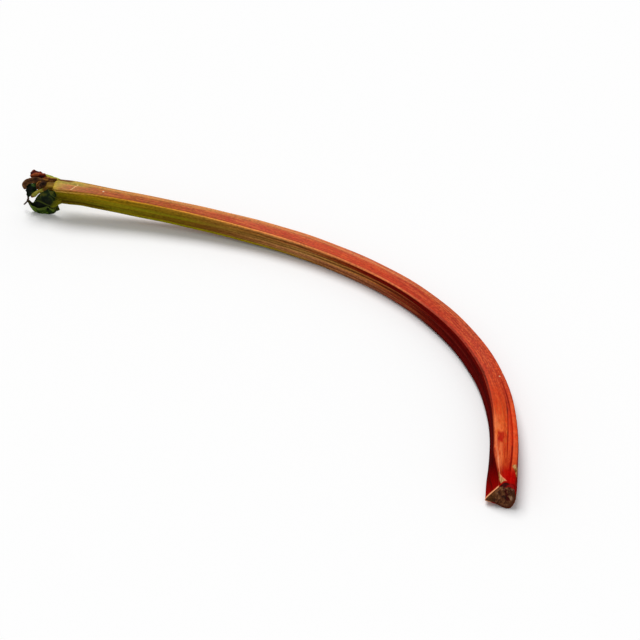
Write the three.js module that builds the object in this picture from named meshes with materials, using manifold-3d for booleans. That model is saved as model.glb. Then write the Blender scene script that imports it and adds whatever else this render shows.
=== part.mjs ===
// One harvested rhubarb stalk, laid down on a surface, in millimetres with +Z up.
// The stalk is a long ribbed petiole with a channelled inner face. Its base end is a slanted, torn-off scar.
// Its leaf end carries what is left of the leaf: three vein stubs and the withered blade pieces on them.
// The surface is z = 0 and the origin is the middle of the stalk's footprint.
import * as THREE from "three";
import { mergeVertices } from "three/addons/utils/BufferGeometryUtils.js";
import Module from "manifold-3d";

const wasm = await Module();
wasm.setup();

// ---- Driving dimensions: millimetres, and degrees for angles ----
const STALK_LENGTH = 600; // along its curve, leaf end to base end
const LEAF_SECTION = { width: 15.5, height: 17.5 }; // across the stalk, and up
const BASE_SECTION = { width: 20.5, height: 18.5 };
const SQUARENESS = 5; // power of the rounded-box section: 2 is an ellipse, more is squarer
const MAIN_TURN = 106; // how far the plan line turns, with the square of the way along
const BACK_TURN = 15; // how far the base end straightens out again
const BACK_POWER = 16; // keeps that straightening to the last stretch
const LEAF_TWIST = 9; // the section leans towards the channelled side at the leaf end
const BASE_TWIST = -9; // and away from it towards the base
const LEAF_LIFT = 16; // the leaf end stands this high on its folded lower blade
const LIFT_SHARE = 0.5; // share of the length over which the stalk comes down to the surface
const FLAT_DEPTH = 0.25; // how far the resting side is pressed flat
const SCAR_SLANT = 0.38; // the base scar leans back by this much for each millimetre up
const SCAR_HOLLOW = 1.6; // its middle has dried in by this much
const LEAF_DOME = 1.5; // the rounded end of the petiole between the vein stubs
const GAP = 0.4; // clearance between neighbouring solids

// The base clasped the crown of the plant, so its upper inner corner slopes away there as a flat.
// The flat faces this way round the section, and comes in from a distance that leaves the corner whole.
const CLASP = { facing: 30, from: 14, to: 3.1, starts: 0.93 };

// There its outer side spreads instead, towards the lower corner.
const FLARE = { at: 192, spread: 42, height: 3.4, starts: 0.9 };

// Ridges and grooves of the section: where they stand round it, how wide they are, and their height.
// 0 degrees is the channelled inner face, 90 is the top, 180 the outer side and 270 the underside.
const RIDGES = [
  { at: 45, spread: 11, height: 0.9 },
  { at: 135, spread: 12, height: 0.6 },
  { at: 225, spread: 16, height: 0.3 },
  { at: 315, spread: 11, height: 0.7 },
  { at: 0, spread: 26, height: -0.6 },
];

const STATIONS = 64;
const POINTS_AROUND = 32;

// ---- Colours of the plain solids ----
const SKIN = new THREE.MeshStandardMaterial({ color: 0xb4402c, roughness: 0.42 });
const YOUNG_VEIN = new THREE.MeshStandardMaterial({ color: 0x9a9432, roughness: 0.5 });
const WITHERED = new THREE.MeshStandardMaterial({ color: 0x5a3420, roughness: 0.75 });
const LEAF_GREEN = new THREE.MeshStandardMaterial({ color: 0x2c4416, roughness: 0.55 });

// ---- Small helpers ----
const radians = THREE.MathUtils.degToRad;
const lerp = THREE.MathUtils.lerp;

// A smooth bell, 1 at zero and near 0 two spreads away; both angles in degrees.
function bell(offset, spread) {
  const nearest = ((((offset + 180) % 360) + 360) % 360) - 180;
  return Math.exp(-((nearest / spread) ** 2));
}

function signedVolume(points, index) {
  let six = 0;
  for (let i = 0; i < index.length; i += 3) {
    const [a, b, c] = [points[index[i]], points[index[i + 1]], points[index[i + 2]]];
    six += a.dot(b.clone().cross(c));
  }
  return six / 6;
}

// A closed surface through rings of points. Each end is zipped shut, point i to its partner across the ring,
// which suits a round section and a flat blade alike.
function skinThrough(rings) {
  const n = rings[0].length;
  const last = (rings.length - 1) * n;
  const points = rings.flat();
  const index = [];
  const quad = (a, b, c, d) => {
    if (a !== b && b !== c) index.push(a, b, c);
    if (c !== d && d !== a) index.push(a, c, d);
  };
  for (let k = 0; k < rings.length - 1; k++) {
    for (let i = 0; i < n; i++) {
      const j = (i + 1) % n;
      quad(k * n + i, k * n + j, (k + 1) * n + j, (k + 1) * n + i);
    }
  }
  for (let i = 0; i < n / 2; i++) {
    quad(i, (n - i) % n, n - i - 1, i + 1);
    quad(last + i, last + i + 1, last + n - i - 1, last + ((n - i) % n));
  }
  if (signedVolume(points, index) < 0) index.reverse();
  return new THREE.BufferGeometry().setFromPoints(points).setIndex(index);
}

// ---- The spine: the line that the petiole follows ----
// In plan it starts along +X and turns towards -Y, slowly and then faster, like an opened spiral.
function planHeading(t) {
  return radians(-MAIN_TURN * t ** 2 + BACK_TURN * t ** BACK_POWER);
}

function twist(t) {
  return radians(lerp(LEAF_TWIST, BASE_TWIST, t));
}

function lift(t) {
  return LEAF_LIFT * Math.max(0, 1 - t / LIFT_SHARE) ** 2;
}

// The clasp's flat, as a radius at an angle round the section.
function claspRadius(degrees, t) {
  const distance = lerp(CLASP.from, CLASP.to, THREE.MathUtils.smoothstep(t, CLASP.starts, 1));
  return distance / Math.max(0.05, Math.cos(radians(degrees - CLASP.facing)));
}

// The smaller of two radii, rounded where they cross.
function softMinimum(a, b) {
  return (a ** -8 + b ** -8) ** (-1 / 8);
}

// The section's radius at an angle round it, in degrees. grow makes it larger all round.
function sectionRadius(degrees, t, grow = 0) {
  const angle = radians(degrees);
  const halfWidth = lerp(LEAF_SECTION.width, BASE_SECTION.width, t) / 2;
  const halfHeight = lerp(LEAF_SECTION.height, BASE_SECTION.height, t) / 2;
  const across = Math.abs(Math.cos(angle)) / halfWidth;
  const up = Math.abs(Math.sin(angle)) / halfHeight;
  let radius = (across ** SQUARENESS + up ** SQUARENESS) ** (-1 / SQUARENESS);
  for (const ridge of RIDGES) radius += ridge.height * bell(degrees - ridge.at, ridge.spread);
  const flared = THREE.MathUtils.smoothstep(t, FLARE.starts, 1);
  radius += FLARE.height * flared * bell(degrees - FLARE.at, FLARE.spread);
  return softMinimum(radius, claspRadius(degrees, t)) + grow;
}

// The section as [towards the channelled side, up] pairs, twisted.
function sectionOutline(t, grow) {
  const lean = twist(t);
  return Array.from({ length: POINTS_AROUND }, (_, i) => {
    const degrees = (360 * i) / POINTS_AROUND;
    const radius = sectionRadius(degrees, t, grow);
    const angle = radians(degrees) - lean;
    return [radius * Math.cos(angle), radius * Math.sin(angle)];
  });
}

// Stations along the spine, worked out by walking its heading.
function walkSpine() {
  const stations = [];
  const step = STALK_LENGTH / STATIONS;
  const ground = new THREE.Vector3();
  for (let k = 0; k <= STATIONS; k++) {
    const t = k / STATIONS;
    const heading = planHeading(t);
    const lowest = Math.min(...sectionOutline(t, 0).map(([, up]) => up));
    stations.push({
      t,
      along: new THREE.Vector3(Math.cos(heading), Math.sin(heading), 0),
      side: new THREE.Vector3(Math.sin(heading), -Math.cos(heading), 0),
      centre: ground.clone().setZ(lift(t) - lowest - FLAT_DEPTH),
    });
    const halfway = planHeading(t + 0.5 / STATIONS);
    ground.x += step * Math.cos(halfway);
    ground.y += step * Math.sin(halfway);
  }
  return stations;
}

const spine = walkSpine();

// ---- The petiole ----
// Each ring is the section at a station, with its resting side pressed flat at the height of the lift.
// size shrinks a ring about its centre, and push moves it along the stalk.
function petioleRing({ t, along, side, centre }, { grow = 0, size = 1, push = 0, slant = 0 } = {}) {
  const floor = lift(t) - grow;
  return sectionOutline(t, grow).map(([across, up]) =>
    centre
      .clone()
      .addScaledVector(side, across * size)
      .addScaledVector(along, push - slant * up * size)
      .setZ(Math.max(floor, centre.z + up * size)),
  );
}

function petioleSkin(grow = 0) {
  const leafEnd = spine[0];
  const baseEnd = spine[STATIONS];
  const slant = SCAR_SLANT;
  return skinThrough([
    petioleRing(leafEnd, { grow, size: 0.45, push: -LEAF_DOME - grow }),
    petioleRing(leafEnd, { grow, size: 0.86, push: -0.6 * LEAF_DOME - grow }),
    ...spine.slice(0, -1).map((station) => petioleRing(station, { grow })),
    petioleRing(baseEnd, { grow, slant }),
    petioleRing(baseEnd, { grow, slant, size: 0.72, push: -0.5 * SCAR_HOLLOW }),
    petioleRing(baseEnd, { grow, slant, size: 0.35, push: -SCAR_HOLLOW }),
  ]);
}

// ---- The leaf end ----
// Its pieces are laid out by [out, side, up]: out past the petiole's end, side towards the channelled
// face, and up from the surface.
const leafPoint = ([out, side, up]) => new THREE.Vector3(-out, -side, up);
const leafCurve = (points) => new THREE.CatmullRomCurve3(points.map(leafPoint), false, "centripetal");

// A vein: a round tube through its points, with its radius going through the given ones.
function veinSkin({ path, radii, steps = 8, around = 12, grow = 0 }) {
  const curve = leafCurve(path);
  const radiusAt = (u) => {
    const place = u * (radii.length - 1);
    const k = Math.min(Math.floor(place), radii.length - 2);
    return lerp(radii[k], radii[k + 1], place - k) + grow;
  };
  const ring = (u, size, push) => {
    const tangent = curve.getTangent(u);
    const side = new THREE.Vector3(0, 0, 1).cross(tangent).normalize();
    const up = tangent.clone().cross(side);
    const centre = curve.getPoint(u).addScaledVector(tangent, push);
    return Array.from({ length: around }, (_, i) => {
      const angle = (2 * Math.PI * i) / around;
      return centre
        .clone()
        .addScaledVector(side, size * radiusAt(u) * Math.cos(angle))
        .addScaledVector(up, size * radiusAt(u) * Math.sin(angle));
    });
  };
  const body = Array.from({ length: steps + 1 }, (_, k) => ring(k / steps, 1, 0));
  const dome = radiusAt(1);
  return skinThrough([
    ring(0, 0.6, -0.3 * dome - grow),
    ...body,
    ring(1, 0.8, 0.4 * dome),
    ring(1, 0.4, 0.6 * dome),
  ]);
}

// A blade: a thin leaf piece through three lines along it: its near edge, its middle and its far edge.
// Across, it is the parabola through those three. A wave ruffles it, most at the edges.
function bladeSkin({ near, middle, far, thickness, wave = 0, waves = 3, steps = 12, across = 8 }) {
  const lines = [near, middle, far].map(leafCurve);
  const rings = Array.from({ length: steps + 1 }, (_, k) => {
    const u = k / steps;
    const [a, m, b] = lines.map((line) => line.getPoint(u));
    const tangent = lines[1].getTangent(u);
    const place = (share) =>
      new THREE.Vector3()
        .addScaledVector(a, (1 - share) * (1 - 2 * share))
        .addScaledVector(m, 4 * share * (1 - share))
        .addScaledVector(b, share * (2 * share - 1));
    return Array.from({ length: 2 * across }, (_, i) => {
      const angle = (Math.PI * i) / across;
      const share = (1 - Math.cos(angle)) / 2;
      const slope = place(share + 0.01).sub(place(share - 0.01));
      const normal = slope.cross(tangent).normalize();
      const ruffle = wave * (2 * share - 1) ** 2 * Math.sin(2 * Math.PI * waves * u);
      return place(share).addScaledVector(normal, ruffle + (thickness / 2) * Math.sin(angle));
    });
  });
  return skinThrough(rings);
}

// ---- Joining and clearing with manifold-3d ----
function toSolid(geometry) {
  const merged = mergeVertices(geometry, 1e-3);
  return new wasm.Manifold(
    new wasm.Mesh({
      numProp: 3,
      vertProperties: merged.attributes.position.array,
      triVerts: new Uint32Array(merged.index.array),
    }),
  );
}

function toGeometry(solid) {
  const mesh = solid.getMesh();
  return new THREE.BufferGeometry()
    .setAttribute("position", new THREE.BufferAttribute(mesh.vertProperties, 3))
    .setIndex(new THREE.BufferAttribute(mesh.triVerts, 1));
}

// A piece with its neighbours' room cut away. Only its largest part is kept.
function clearOf(geometry, ...neighbours) {
  const cut = neighbours.reduce((solid, neighbour) => solid.subtract(toSolid(neighbour)), toSolid(geometry));
  const parts = cut.decompose().sort((a, b) => b.volume() - a.volume());
  return toGeometry(parts[0]);
}

// ---- The leaf end's pieces ----
const MIDRIB = {
  path: [[-0.5, 0.2, 26.6], [6, 0.6, 27.6], [12, 0.8, 28.8], [17, 0.6, 29.6]],
  radii: [5, 4.4, 3.8, 3.4],
};
const FAR_VEIN = { path: [[-0.5, -6, 31], [6, -8, 32.6], [13, -9.5, 34.2]], radii: [2.8, 2.4, 2] };
const NEAR_VEIN = {
  path: [[-0.5, 4.8, 24.6], [7, 6.4, 26.4], [13, 6.8, 27], [19, 6, 24.4], [25, 5, 20]],
  radii: [2.8, 2.3, 1.9, 1.5, 1],
};
const ROLLED_BLADE = { path: [[1, -3.4, 34], [7, -3.2, 34], [14, -5.6, 34.4]], radii: [1.7, 2.2, 1.7] };
const DRY_TWIG = {
  path: [[25.8, 4.6, 18.6], [27.6, 3.9, 13.6], [30, 4, 10], [34, 4.3, 6]],
  radii: [0.8, 0.9, 0.8, 0.5],
};
const WITHERED_TIP = {
  near: [[14, -4.4, 32.2], [19.6, -4, 32.4], [27, -5, 31.6]],
  middle: [[14, -7.2, 35.2], [20.6, -7.6, 36.2], [29, -7.8, 35.2]],
  far: [[14, -10.2, 33.8], [20.6, -11, 35.4], [27.6, -10.4, 36]],
  thickness: 2.6,
  wave: 0.6,
  waves: 2,
};
const ARCHED_BLADE = {
  near: [[16, 5.4, 29], [22, 6.4, 28], [28.6, 6, 25.4], [31.4, 4.8, 21.8], [28.6, 3.4, 18.4]],
  middle: [[18, 0.6, 32.6], [23.6, 0.4, 32.2], [30.6, 0.3, 29], [34.4, 0.4, 23.4], [31.4, 0.4, 17.4]],
  far: [[18.6, -4.4, 29.4], [24, -5.2, 28.8], [30, -4.8, 26], [33.4, -3.6, 22], [31, -2.4, 18.4]],
  thickness: 1.8,
  wave: 0.6,
  waves: 3,
};
const LOWER_BLADE = {
  near: [[-2.6, 2.8, 6.6], [4, 7, 8.4], [12, 8.8, 9], [19, 8.2, 9.8], [26.4, 4.6, 12.4]],
  middle: [[-2.2, 1.6, 5.6], [4, 2.5, 2.4], [12, 3.4, 0.8], [18, 4.2, 0.8], [26.2, 4, 11.4]],
  far: [[-1.8, 1, 14.4], [4, 4.2, 22], [12, 5, 23], [17, 4, 19], [25.8, 3.6, 13.4]],
  thickness: 1.8,
};

const petioleRoom = petioleSkin(GAP);
const midribRoom = veinSkin({ ...MIDRIB, grow: GAP });
const farVeinRoom = veinSkin({ ...FAR_VEIN, grow: GAP });
const nearVeinRoom = veinSkin({ ...NEAR_VEIN, grow: GAP });
const rolledRoom = veinSkin({ ...ROLLED_BLADE, grow: GAP });
const tipRoom = bladeSkin({ ...WITHERED_TIP, thickness: WITHERED_TIP.thickness + 2 * GAP });

// Rests a piece on the surface: whatever reaches below it is cut away flat.
const UNDERGROUND = new THREE.BoxGeometry(400, 400, 100).toNonIndexed().translate(0, 0, -50);
UNDERGROUND.deleteAttribute("normal");
UNDERGROUND.deleteAttribute("uv");

const pieces = [
  ["petiole", petioleSkin(), SKIN],
  ["midrib_stub", clearOf(veinSkin(MIDRIB), petioleRoom), YOUNG_VEIN],
  ["far_vein_stub", clearOf(veinSkin(FAR_VEIN), petioleRoom, midribRoom), YOUNG_VEIN],
  ["near_vein_stub", clearOf(veinSkin(NEAR_VEIN), petioleRoom, midribRoom), YOUNG_VEIN],
  ["rolled_blade", clearOf(veinSkin(ROLLED_BLADE), petioleRoom, midribRoom, farVeinRoom), WITHERED],
  ["withered_tip", clearOf(bladeSkin(WITHERED_TIP), farVeinRoom, rolledRoom, midribRoom), WITHERED],
  ["arched_blade", clearOf(bladeSkin(ARCHED_BLADE), midribRoom, nearVeinRoom, tipRoom), WITHERED],
  ["lower_blade", clearOf(bladeSkin(LOWER_BLADE), petioleRoom, nearVeinRoom, UNDERGROUND), LEAF_GREEN],
  ["dry_twig", clearOf(veinSkin(DRY_TWIG), nearVeinRoom), WITHERED],
];

const stalk = new THREE.Group();
stalk.name = "rhubarb_stalk";
for (const [name, geometry, material] of pieces) {
  const mesh = new THREE.Mesh(geometry, material);
  mesh.name = name;
  stalk.add(mesh);
}

// The chord from the leaf end to the base end lies along +X, and the footprint's middle is the origin.
const chord = spine[STATIONS].centre.clone().sub(spine[0].centre);
stalk.rotation.z = -Math.atan2(chord.y, chord.x);
stalk.updateMatrixWorld(true);
const footprint = new THREE.Box3().setFromObject(stalk, true);
const middle = footprint.getCenter(new THREE.Vector3());
stalk.position.set(-middle.x, -middle.y, -footprint.min.z);

export default stalk;
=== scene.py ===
"""A harvested rhubarb stalk, lying down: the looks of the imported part, from its petiole to its leaf end."""

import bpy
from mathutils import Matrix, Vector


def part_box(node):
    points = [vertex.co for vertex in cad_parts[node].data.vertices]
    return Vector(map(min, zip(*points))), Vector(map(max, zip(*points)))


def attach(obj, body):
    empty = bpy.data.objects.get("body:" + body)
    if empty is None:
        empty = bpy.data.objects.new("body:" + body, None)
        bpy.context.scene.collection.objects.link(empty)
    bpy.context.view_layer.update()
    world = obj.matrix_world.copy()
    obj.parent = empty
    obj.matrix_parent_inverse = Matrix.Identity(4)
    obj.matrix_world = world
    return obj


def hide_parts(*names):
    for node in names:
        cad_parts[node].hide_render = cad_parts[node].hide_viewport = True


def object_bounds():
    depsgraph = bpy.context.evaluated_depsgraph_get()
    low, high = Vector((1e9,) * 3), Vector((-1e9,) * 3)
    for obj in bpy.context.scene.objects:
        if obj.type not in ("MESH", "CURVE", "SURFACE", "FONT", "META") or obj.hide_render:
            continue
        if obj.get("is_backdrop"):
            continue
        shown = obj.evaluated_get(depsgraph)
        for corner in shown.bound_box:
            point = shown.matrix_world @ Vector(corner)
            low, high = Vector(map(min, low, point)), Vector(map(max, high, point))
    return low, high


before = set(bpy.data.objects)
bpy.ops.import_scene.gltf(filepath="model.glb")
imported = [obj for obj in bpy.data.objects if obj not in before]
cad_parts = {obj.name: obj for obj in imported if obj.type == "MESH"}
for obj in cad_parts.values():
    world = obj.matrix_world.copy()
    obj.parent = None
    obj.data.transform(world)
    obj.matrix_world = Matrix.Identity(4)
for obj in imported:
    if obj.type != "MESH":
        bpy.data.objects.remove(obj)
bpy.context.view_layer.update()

import math

import bpy
import numpy as np
from mathutils import Vector

# ---- Camera ----
# It stands on the stalk's channelled side, towards the base end, and looks down on it.
AIM = Vector((0.0303, 0.0003, 0.0))
AZIMUTH = math.radians(44.65)
ELEVATION = math.radians(40)
DISTANCE = 1.2058
LENS = 80
SENSOR_WIDTH = 36
CLIP_END = 50


def direction(azimuth, elevation):
    """The way from the stalk to a thing: azimuth turns it from -y towards +x, and elevation lifts it."""
    level = math.cos(elevation)
    return Vector((math.sin(azimuth) * level, -math.cos(azimuth) * level, math.sin(elevation)))


towards_camera = direction(AZIMUTH, ELEVATION)
camera = bpy.data.objects.new("camera", bpy.data.cameras.new("camera"))
camera.data.lens = LENS
camera.data.sensor_width = SENSOR_WIDTH
camera.data.clip_end = CLIP_END
camera.location = AIM + DISTANCE * towards_camera
camera.rotation_euler = towards_camera.to_track_quat("Z", "Y").to_euler()
bpy.context.collection.objects.link(camera)
bpy.context.scene.camera = camera
bpy.context.scene.view_settings.view_transform = "Standard"


# ---- Table and studio light ----
# A white table top under a white sky, and one broad lamp behind the stalk, high and to its leaf end.
class Wire:
    """An output of a node. Arithmetic on it adds Math nodes."""

    def __init__(self, finish, socket):
        self.finish = finish
        self.socket = socket

    def math(self, operation, *values):
        inputs = dict(enumerate((self, *values)))
        return self.finish.node("ShaderNodeMath", {"operation": operation}, inputs)

    def __add__(self, other):
        return self.math("ADD", other)

    def __sub__(self, other):
        return self.math("SUBTRACT", other)

    def __rsub__(self, other):
        return (self * -1.0).math("ADD", other)

    def __mul__(self, other):
        return self.math("MULTIPLY", other)

    def __truediv__(self, other):
        return self.math("DIVIDE", other)

    def __pow__(self, other):
        return self.math("POWER", other)

    __radd__ = __add__
    __rmul__ = __mul__


def paint(code):
    """A six-figure colour code as linear red, green, blue and alpha."""
    shares = [int(code[i:i + 2], 16) / 255 for i in (0, 2, 4)]
    linear = [s / 12.92 if s <= 0.04045 else ((s + 0.055) / 1.055) ** 2.4 for s in shares]
    return (*linear, 1.0)


class Finish:
    """The node tree of a material or of the sky, and the few ways in which nodes are added to it."""

    def __init__(self, owner):
        owner.use_nodes = True
        self.owner = owner
        self.tree = owner.node_tree
        self.tree.nodes.clear()

    def node(self, kind, settings=None, inputs=None, output=0):
        """Adds a node: its settings first, a ramp's stops among them, then its sockets' values or links."""
        made = self.tree.nodes.new(kind)
        for name, value in (settings or {}).items():
            if name == "stops":
                self.set_stops(made.color_ramp, value)
            else:
                setattr(made, name, value)
        for key, value in (inputs or {}).items():
            if isinstance(value, Wire):
                self.tree.links.new(value.socket, made.inputs[key])
            else:
                made.inputs[key].default_value = value
        return Wire(self, made.outputs[output]) if made.outputs else None

    def set_stops(self, ramp, stops):
        while len(ramp.elements) < len(stops):
            ramp.elements.new(1.0)
        for element, (position, code) in zip(ramp.elements, stops):
            element.position = position
            element.color = paint(code)

    def ramp(self, value, *stops):
        return self.node("ShaderNodeValToRGB", {"stops": stops}, {0: value})

    def rise(self, value, start, end):
        """0 before start, 1 past end, and smooth between; start may be the larger."""
        settings = {"interpolation_type": "SMOOTHSTEP"}
        return self.node("ShaderNodeMapRange", settings, {0: value, 1: start, 2: end, 3: 0.0, 4: 1.0})

    def band(self, value, low, high, soft):
        """1 between low and high, and 0 further than soft outside them."""
        return self.rise(value, low - soft, low) * self.rise(value, high + soft, high)

    def mix(self, share, base, over):
        """The colour over laid on the colour base by share. Either may be a colour code."""
        base = paint(base) if isinstance(base, str) else base
        over = paint(over) if isinstance(over, str) else over
        return self.node("ShaderNodeMix", {"data_type": "RGBA"}, {0: share, 6: base, 7: over}, output=2)

    def lay(self, colour, *layers):
        """Colours laid on a colour, one after the other. Each layer is its share and its colour."""
        for share, over in layers:
            colour = self.mix(share, colour, over)
        return colour

    def part(self, vector, axis):
        """One of a vector's X, Y and Z."""
        return self.node("ShaderNodeSeparateXYZ", {}, {0: vector}, axis)

    def place(self):
        """The point's place on its object, in metres."""
        return self.node("ShaderNodeTexCoord", {}, {}, "Object")

    def skin_map(self):
        """The point's place on its piece's UV map: the way along the piece, and the way round it."""
        return self.node("ShaderNodeUVMap", {"uv_map": "skin"})

    def grain(self):
        """The vector that the piece's mesh keeps for the point."""
        return self.node("ShaderNodeAttribute", {"attribute_name": "grain"}, {}, "Vector")

    def seen(self):
        """1 for what the camera sees, also in a reflection or through glass, and 0 for the lighting."""
        share = self.node("ShaderNodeLightPath", {}, {}, "Is Camera Ray")
        for ray in ("Is Glossy Ray", "Is Transmission Ray"):
            share = share.math("MAXIMUM", self.node("ShaderNodeLightPath", {}, {}, ray))
        return share

    def noise(self, place, stretch, detail=2.0, roughness=0.5, distortion=0.0):
        """Noise from 0 to 1, with stretch ripples a unit along each axis of place."""
        stretched = self.node("ShaderNodeVectorMath", {"operation": "MULTIPLY"}, {0: place, 1: stretch})
        values = {"Vector": stretched, "Scale": 1.0, "Detail": detail, "Roughness": roughness}
        values["Distortion"] = distortion
        return self.node("ShaderNodeTexNoise", {}, values)

    def surface(self, colour, roughness, height=None, depth=0.0, shine=0.0, **others):
        """Ends a material: a Principled shader, with height as a bump of that depth in metres, and shine
        as its specular level."""
        values = {"Base Color": colour, "Roughness": roughness, "Specular IOR Level": shine, **others}
        if height is not None:
            bump = {"Strength": 1.0, "Distance": depth, "Height": height}
            values["Normal"] = self.node("ShaderNodeBump", {}, bump)
        shader = self.node("ShaderNodeBsdfPrincipled", {}, values)
        self.node("ShaderNodeOutputMaterial", {}, {"Surface": shader})
        return self.owner


FLOOR_HALF = 4.0
FLOOR_DROP = 0.0001
FLOOR_GREY = 0.86
WHITE = (1, 1, 1, 1)
SKY_STRENGTH = 0.45
LAMP_STRENGTH = 2.0
LAMP_SPREAD = math.radians(34)
LAMP_ELEVATION = math.radians(58)
LAMP_AZIMUTH = AZIMUTH + math.radians(180 + 24)

floor_mesh = bpy.data.meshes.new("table_top")
sides = ((-1, -1), (1, -1), (1, 1), (-1, 1))
corners = [(FLOOR_HALF * x, FLOOR_HALF * y, -FLOOR_DROP) for x, y in sides]
floor_mesh.from_pydata(corners, [], [(0, 1, 2, 3)])
floor = bpy.data.objects.new("table_top", floor_mesh)
bpy.context.collection.objects.link(floor)
table = Finish(bpy.data.materials.new("white_table"))
floor_colour = table.mix(table.seen(), (FLOOR_GREY, FLOOR_GREY, FLOOR_GREY, 1), WHITE)
floor.data.materials.append(table.surface(floor_colour, 0.9))
floor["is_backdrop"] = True

world = bpy.data.worlds.new("white_sky")
bpy.context.scene.world = world
sky = Finish(world)
sky_strength = SKY_STRENGTH + (1.0 - SKY_STRENGTH) * sky.seen()
background = sky.node("ShaderNodeBackground", {}, {"Color": WHITE, "Strength": sky_strength})
sky.node("ShaderNodeOutputWorld", {}, {"Surface": background})

lamp = bpy.data.objects.new("lamp", bpy.data.lights.new("lamp", "SUN"))
lamp.data.energy = LAMP_STRENGTH
lamp.data.angle = LAMP_SPREAD
lamp.rotation_euler = direction(LAMP_AZIMUTH, LAMP_ELEVATION).to_track_quat("Z", "Y").to_euler()
bpy.context.collection.objects.link(lamp)


# ---- Petiole ----
# The stalk itself: a fleshy leaf stalk with a ribbed skin, flat and channelled on its inner face. It grew
# in one piece. Its colour runs from red at the base to green at the leaf, with fibres along it.

# Sizes are in metres. t is the share of the way along it, from 0 at the leaf end to 1 at the base. An angle
# is in degrees round its section, from 0 on the channelled side over 90 on top to 180 on the outer side.
LENGTH = 0.600
LEAF_WIDTH = 0.0155
LEAF_HEIGHT = 0.0175
BASE_WIDTH = 0.0205
BASE_HEIGHT = 0.0185
SQUARENESS = 5
LEAF_ROUNDING = 2.2
FOOT_SPREAD = 0.0034
CLASP_ANGLE = 30
CLASP_FREE = 0.014
CLASP_FLAT = 0.0031
MEETING_POWER = 8
MAIN_TURN = 106
BACK_TURN = 15
BACK_POWER = 16
LEAF_TWIST = 9
BASE_TWIST = -9
LEAF_LIFT = 0.016
LIFT_SHARE = 0.5
FLAT_DEPTH = 0.00025
UNDERSIDE_EVERY = 11.25
UNDERSIDE_STOPS = 401
SCAR_SLANT = 0.38
TRIM = 0.0003
BEADS = [(45, 11, 0.0009), (135, 12, 0.0006), (225, 16, 0.0003), (315, 11, 0.0007), (0, 26, -0.0006)]
RIB_EVERY = 11.25
RIB_DEPTH = 0.00008
OUTER_RIB_DEPTH = 0.00016
FURROW_DEPTH = 0.0006
BRANCH_DEPTH = 0.00035
LEAF_FLARE = 0.0042
RINGS = 370
AROUND = 256
RING_CROWDING = 0.045


def rise(value, start, end):
    """0 before start, 1 past end, and three squares less two cubes of the way between."""
    way = np.clip((value - start) / (end - start), 0, 1)
    return way * way * (3 - 2 * way)


def bell(offset, spread):
    """The falling exponential of the square of offset over spread. offset is in degrees, and is taken the
    short way round."""
    nearest = (offset + 180) % 360 - 180
    return np.exp(-((nearest / spread) ** 2))


def plain_radius(t, degrees):
    """The section's radius at an angle round it: a rounded box, the beads and channel along it, the
    spread foot, and the clasp's flat, taken as the smaller of two radii with a rounded meeting."""
    angle = np.radians(degrees)
    half_width = (LEAF_WIDTH + (BASE_WIDTH - LEAF_WIDTH) * t) / 2
    half_height = (LEAF_HEIGHT + (BASE_HEIGHT - LEAF_HEIGHT) * t) / 2
    across = np.abs(np.cos(angle)) / half_width
    up = np.abs(np.sin(angle)) / half_height
    power = SQUARENESS - LEAF_ROUNDING * rise(t, 0.03, -0.01)
    radius = (across ** power + up ** power) ** (-1 / power)
    for at, spread, height in BEADS:
        radius = radius + height * bell(degrees - at, spread)
    radius = radius + FOOT_SPREAD * rise(t, 0.9, 1) * bell(degrees - 192, 42)
    flat = CLASP_FREE + (CLASP_FLAT - CLASP_FREE) * rise(t, 0.93, 1)
    clasp = flat / np.maximum(0.05, np.cos(np.radians(degrees - CLASP_ANGLE)))
    return (radius ** -MEETING_POWER + clasp ** -MEETING_POWER) ** (-1 / MEETING_POWER)


def ripple(*phases):
    """A slow uneven wave from -1 to 1: the product of a sine of each phase."""
    wave = 1.0
    for phase in phases:
        wave = wave * np.sin(phase)
    return wave


def relief(t, degrees):
    """What stands on the plain section: rounded ribs, as a low power of a sine of the angle, that wander
    a little along the stalk; two furrows beside the outer bead near the base; a slow unevenness; and the
    lower corner's flare at the leaf end."""
    angle = np.radians(degrees)
    wander = 0.35 * np.sin(5 * t + angle) + 0.2 * np.sin(17 * t + 2 * angle)
    crest = np.abs(np.sin(math.pi * (degrees / RIB_EVERY + wander))) ** 0.7 - 0.65
    deep = RIB_DEPTH + OUTER_RIB_DEPTH * bell(degrees - 190, 70) + 0.00006 * ripple(40 * t, angle * 3)
    furrow = -FURROW_DEPTH * bell(degrees - 124, 4.5) * rise(t, 0.77, 0.84)
    branch = -BRANCH_DEPTH * bell(degrees - 113 + 12 * rise(t, 0.8, 0.92), 4)
    branch = branch * rise(t, 0.8, 0.85) * rise(t, 0.97, 0.92)
    uneven = 0.00016 * ripple(23 * t + angle, 9 * t + 1) + 0.0001 * np.sin(71 * t + 2 * angle)
    flare = LEAF_FLARE * bell(degrees - 313, 22) * rise(t, 0.04, -0.006)
    return crest * deep + furrow + branch + uneven + flare


def heading(t):
    """The plan line's heading, before it is turned into place: it turns with the square of t, and
    straightens out again by a high power of t."""
    return np.radians(-MAIN_TURN * t ** 2 + BACK_TURN * t ** BACK_POWER)


# The plan line is walked in short steps along its heading, and turned so that its two ends lie along x.
STEPS = np.linspace(0, 1, 2401)
HALFWAY = heading((STEPS[1:] + STEPS[:-1]) / 2)
WALK = np.zeros((len(STEPS), 2))
WALK[1:, 0] = np.cumsum(np.cos(HALFWAY)) * LENGTH / (len(STEPS) - 1)
WALK[1:, 1] = np.cumsum(np.sin(HALFWAY)) * LENGTH / (len(STEPS) - 1)
TURN = -math.atan2(WALK[-1, 1], WALK[-1, 0])


def lift(t):
    """How high the underside is held: the leaf end's lift, times the square of the share of the way that
    is left to where the stalk lies down."""
    return LEAF_LIFT * np.maximum(0, 1 - t / LIFT_SHARE) ** 2


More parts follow.
